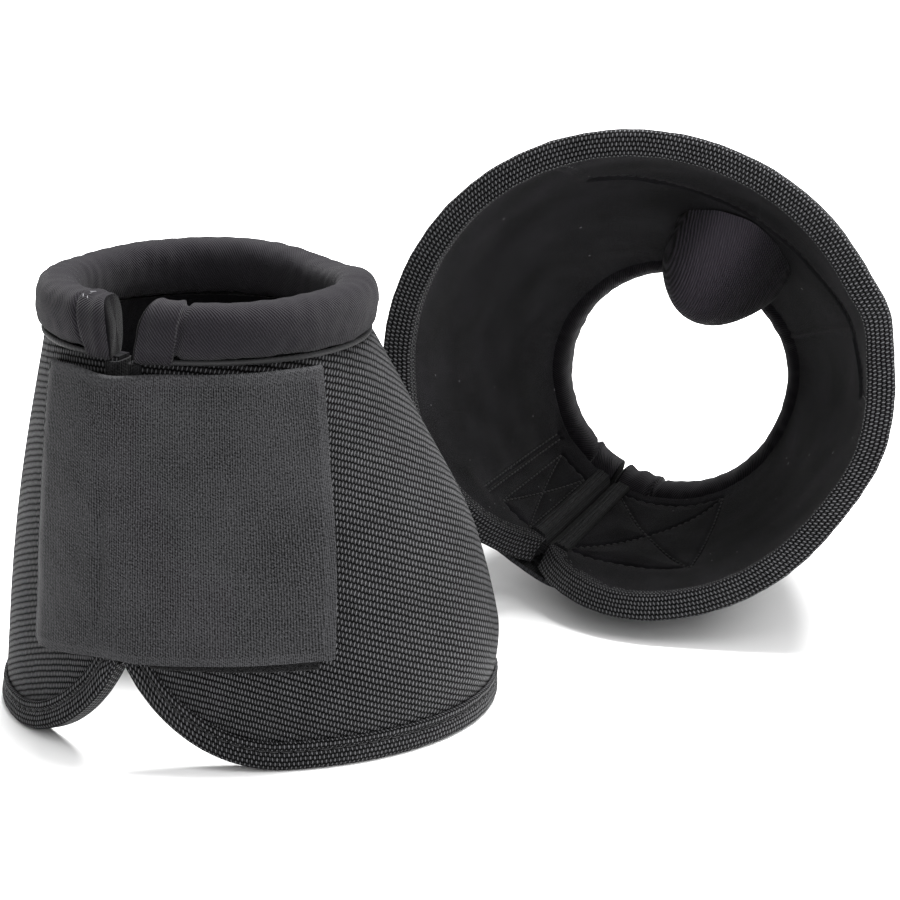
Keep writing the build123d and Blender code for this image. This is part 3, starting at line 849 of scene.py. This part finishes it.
def end_wrap(side, name, way):
    """Jersey sleeve over one end of the roll, slanting open towards the top, with a tucked end."""
    u, run = section_run(72)
    s = np.concatenate([np.sin(np.linspace(0, np.pi / 2, 14))[:, None] * 0.14,
                        np.linspace(0.15, 0.94, 46)[:, None], np.linspace(0.95, 1.0, 9)[:, None]])
    ring_u = u[None, :]
    height = 0.5 + 0.5 * np.sin(ring_u)
    end = 2.4 + 6.0 * height if way > 0 else 1.6 + 2.9 * height
    if way < 0:
        end = end - 1.0 + 9.0 * (0.5 - 0.5 * np.cos(ring_u))
    if side == "right":
        end = -0.5 + 0.1 * height
    seam = 18.4 + 4.0 * height if way > 0 else 14.2 + 5.6 * height
    a = end + (seam - end) * s
    close = np.clip(s / 0.14, 0, 1)
    dome = np.sqrt(np.clip(1 - (1 - close) ** 2, 0, 1))
    tuck = np.clip((s - 0.95) / 0.05, 0, 1)
    grow = 0.55 + 0.24 * ripple(61 + (way > 0), a * 0.9 * 2, ring_u * 4, 15) * (1 - tuck)
    grow = grow + 0.15 * np.exp(-((s - 0.88) / 0.06) ** 2) - 1.9 * tuck ** 2
    grow = grow + 1.6 * np.exp(-((np.sin(ring_u) + 1) / 0.30) ** 2) * np.clip(0.5 + np.cos(ring_u), 0, 1)
    fold = 0.30 * np.sin(s * 16 + 2 * ring_u) * np.exp(-((s - 0.35) / 0.3) ** 2)
    grow = grow + fold * 0.5
    rings = roll_point(way * a, ring_u, grow)
    mid = roll_point(way * a, ring_u, np.full(grow.shape, -6.2))
    centre = mid.mean(1, keepdims=True)
    flat = centre + (rings - centre) * (0.03 + 0.97 * dome[..., None])
    rings = np.where(dome[..., None] < 1, flat, rings)
    uv = np.stack([closed(a) * 0.9 + 40, np.broadcast_to(run[None, :], (len(s), len(run)))], -1)
    wide = closed(ring_u)
    flat_uv = np.stack([7 * np.cos(wide) * dome, 8.5 * np.sin(wide) * dome], -1)
    uv = np.where((s < 0.139)[..., None], flat_uv, uv)
    obj = tube(f"{side}_{name}", side, rings, uv, KNIT, side + "_boot", [f"{side}_{name}"])
    # the cap faces take the darker cloth: painted shade for the gap between the wrap ends, on the dark inner
    # side of the fold
    obj.data.materials.append(SHADED_CAP_KNIT)
    index = np.zeros((len(s) - 1, len(run) - 1), np.int32)
    index[:12] = 1
    obj.data.polygons.foreach_set("material_index", index.ravel())
    return obj


def lint(side):
    """A few loose ends of pale thread caught at the top of the strap-side fold."""
    lines = []
    for a, u, turn, run in ((-16.5, 1.35, 0.3, 2.6), (-15.2, 1.2, 1.4, 1.9),
                            (-17.6, 1.1, -0.8, 2.2), (-14.0, 0.9, 2.2, 1.6)):
        t = np.linspace(0, run, 8)
        aa = a + t * np.cos(turn) + 0.3 * np.sin(t * 2)
        lines.append((roll_point(aa, u + 0.11 * t * np.sin(turn), 1.1), outward(aa)))
    return stitches(f"{side}_collar_lint", side, lines, LINT, side + "_boot", 2.6, 0.1, 0.16)


def piping(side):
    a = np.linspace(7.5, 352.5, 700)[:, None]
    u = np.linspace(0, 2 * np.pi, 12, endpoint=False)[None, :]
    r = 0.85 * (1 + 0.10 * np.sin(u * 2 + a * 0.9 * 3.2))
    r[0] = r[-1] = 0.02
    x = TOP_R + 0.45 + r * np.cos(u)
    t = np.radians(a)
    rings = tilted(np.stack([x * np.sin(t), -x * np.cos(t), 0.1 + r * np.sin(u) + 0 * t], -1))
    uv = np.stack(np.broadcast_arrays(a * 0.9, np.linspace(0, 5.3, 13)[None, :]), -1)
    return tube(f"{side}_collar_piping", side, rings, uv, PIPE, side + "_boot",
                [f"{side}_collar_piping"])


# ---------------------------------------------------------------- closure
GAP_A = [-35, -31.5, -28, -25, -15, 0, 8.6, 14, 20, 56, 65]
GAP_V = [0.35, 1.5, 3.6, 4.55, 4.6, 4.55, 4.3, 3.6, 3.3, 3.3, 3.7]


def strap_gap(a):
    """Smoothed height of the outer strap over the wall."""
    fine = np.linspace(-40, 70, 441)
    g = np.interp(fine, GAP_A, GAP_V)
    kernel = np.exp(-(np.linspace(-2, 2, 17)) ** 2)
    g = np.convolve(np.pad(g, 8, mode="edge"), kernel / kernel.sum(), "valid")
    return np.interp(a, fine, g)


def closing_strap(side):
    z0, z1 = STRAP_HEIGHTS
    w = spaced(0, 1, 1 / 150, 0.008)[:, None]
    t = spaced(0, 1, 1 / 110, 0.008)[None, :]
    a0 = -38.5 + 3.5 * t
    a1 = 63.0 + 6.0 * t
    a = a0 + (a1 - a0) * w
    high = z1 - 1.7 * np.exp(-((a + 3) / 11) ** 2) - 2.4 * np.clip(1 - w / 0.22, 0, 1) ** 1.5
    low = z0 + 2.6 + 3.4 * w + 1.0 * np.exp(-((a + 4) / 12) ** 2)
    z = low + (high - low) * t
    body = 2.0 * edge_round(w, 0, 1, 0.008) * edge_round(t, 0, 1, 0.008)
    crease = -1.0 * np.exp(-((a + 4 - 0.02 * (z - 70)) / 1.5) ** 2) * np.exp(-((z - 68) / 24) ** 4)
    margin = np.minimum(np.minimum(z - low, high - z), np.minimum(a - a0, a1 - a) * 0.95)
    plain = -0.22 * (1 - np.clip((margin - 2.6) / 0.5, 0, 1))
    wave = 0.14 * ripple(71, a, z, 30) + 0.06 * ripple(72, a, z, 9)
    lift = 0.7 * np.clip((a - 48) / 17, 0, 1) ** 2
    gap = strap_gap(a + 3.5 * (1 - t) * (1 - w)) + 0 * z
    thick = np.maximum(body + np.minimum(body, 1) * (plain + wave), 0.05)
    outer = on_wall(a, z, -(gap + thick + crease + lift))
    inner = on_wall(a, z, -(gap + crease * 0.4 + lift))
    uv = np.stack(np.broadcast_arrays(a * 0.95, z), -1)
    obj = slab(f"{side}_closing_strap", side, outer, inner, uv, WEB, None,
               [f"{side}_closing_strap"])
    obj.data.materials.append(SELVAGE)
    n, m = margin.shape
    cell = np.minimum(margin[:-1, :-1], margin[1:, 1:]) < 2.75
    index = np.ones(len(obj.data.polygons), np.int32)
    index[:(n - 1) * (m - 1)] = cell.reshape(-1)
    index[(n - 1) * (m - 1):2 * (n - 1) * (m - 1)] = 0
    obj.data.polygons.foreach_set("material_index", index)
    return folds_at_seam(obj)


def folds_at_seam(obj):
    """Bakes the object's placement into its mesh."""
    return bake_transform(obj)


def strap_threads(side):
    lines = []
    for a_row in (-33.0, -31.0):
        z = np.linspace(32.5, 121, 80)
        a = a_row - 3.3 * (121 - z) / 89
        lines.append((on_wall(a, z, -(strap_gap(a) + 1.95)), outward(a)))
    obj = stitches(f"{side}_strap_stitching", side, lines, THREAD, None, 2.9, 0.6, 0.28)
    return folds_at_seam(obj)


def wall_tape(side, name, a0, a1, lows, highs, inner, outer, material, body, seed):
    a = spaced(a0, a1, 0.9, 0.6)[:, None]
    t = spaced(0, 1, 1 / 60, 0.008)[None, :]
    low, high = lows(a), highs
    z = low + (high - low) * t
    deep = inner(a)
    body_t = (outer(a) - deep) * np.minimum(edge_round(a, a0, a1, 0.6), edge_round(t, 0, 1, 0.008))
    wave = 0.05 * ripple(seed, a, z, 12)
    top = on_wall(a, z, -(deep + np.maximum(body_t + wave * (body_t > 0.5), 0.05)))
    bottom = on_wall(a, z, -(deep + 0 * z))
    uv = np.stack(np.broadcast_arrays(a * 0.95, z), -1)
    return slab(f"{side}_{name}", side, top, bottom, uv, material, body, [f"{side}_{name}"])


def flap_gap(a):
    return 1.35 + 0.5 * np.clip((8.6 - a) / 16.6, 0, 1)


def closure(side):
    boot, tongue = side + "_boot", side + "_tongue"
    wall_tape(side, "landing_loop_patch", -26, -8, lambda a: 37.2 + 0 * a, 119.0, lambda a: 0.12 + 0 * a,
              lambda a: 1.5 + 0 * a, LOOP, boot, 81)
    wall_tape(side, "tongue_base", 9, 60.5, lambda a: np.maximum(31.8, band_top(a) + 0.5), 120.0,
              lambda a: 0.15 + 0 * a, lambda a: 2.45 + 0 * a, LOOP, boot, 82)
    wall_tape(side, "tongue_hook_tape", -24, 8.6, lambda a: 38.8 + 0 * a, 117.5, flap_gap,
              lambda a: flap_gap(a) + 1.1, HOOK, tongue, 83)
    wall_tape(side, "tongue_loop_tape", -24, 8.6, lambda a: 38.8 + 0 * a, 117.5, lambda a: flap_gap(a) + 1.17,
              lambda a: flap_gap(a) + 2.29, LOOP, tongue, 84)
    closing_strap(side)
    strap_threads(side)


def boot(side):
    Bell.hem_r = HEM_R[side]
    Bell.belly = 5.3 if side == "left" else 0.0
    Bell.seam_lump = 0.0 if side == "left" else 1.7
    shell(side, "shell_panel_long", REAR_SEAM + 0.1, 357.2)
    shell(side, "shell_panel_short", 2.8, REAR_SEAM - 0.1)
    foam_core(side)
    lining(side, "lining_panel_long", REAR_SEAM + 0.02, 357.2)
    lining(side, "lining_panel_short", 2.8, REAR_SEAM - 0.02)
    hem_binding(side)
    hem_threads(side)
    slit_tape(side, "slit_tape_strap_side", -1)
    slit_tape(side, "slit_tape_tongue_side", 1)
    heel_patch(side)
    heel_threads(side)
    inner_threads(side)
    knob(side, True)
    knob(side, False)
    collar_roll(side, True)
    collar_roll(side, False)
    end_wrap(side, "collar_end_wrap_strap_side", -1)
    end_wrap(side, "collar_end_wrap_tongue_side", 1)
    lint(side)
    piping(side)
    closure(side)


boot("left")
boot("right")


# ---------------------------------------------------------------- studio
def studio():
    bpy.ops.mesh.primitive_plane_add(size=30, location=(0, 0, -0.0003))
    floor = bpy.context.object
    floor.name = "floor"
    m = bpy.data.materials.new("pale_floor")
    m.use_nodes = True
    m.node_tree.nodes["Principled BSDF"].inputs["Base Color"].default_value = (0.92, 0.92, 0.92, 1)
    m.node_tree.nodes["Principled BSDF"].inputs["Roughness"].default_value = 0.85
    floor.data.materials.append(m)
    lights = [("key", (1.0, -1.1, 1.5), 1.0, 15.0),
              ("top", (0.30, 0.20, 1.5), 0.9, 90.0), ("front", (0.30, -1.9, 0.85), 0.6, 6.0)]
    for name, at, size, watts in lights:
        data = bpy.data.lights.new(name, "AREA")
        data.shape = "DISK"
        data.size = size
        data.energy = watts
        light = bpy.data.objects.new(name, data)
        SCENE.collection.objects.link(light)
        light.location = at
        aim = Vector((0, 0, 0.07)) - Vector(at)
        light.rotation_euler = aim.to_track_quat("-Z", "Y").to_euler()
    world = bpy.data.worlds.new("white_room")
    SCENE.world = world
    world.use_nodes = True
    world.node_tree.nodes["Background"].inputs["Color"].default_value = (1, 1, 1, 1)
    world.node_tree.nodes["Background"].inputs["Strength"].default_value = 1.0


studio()
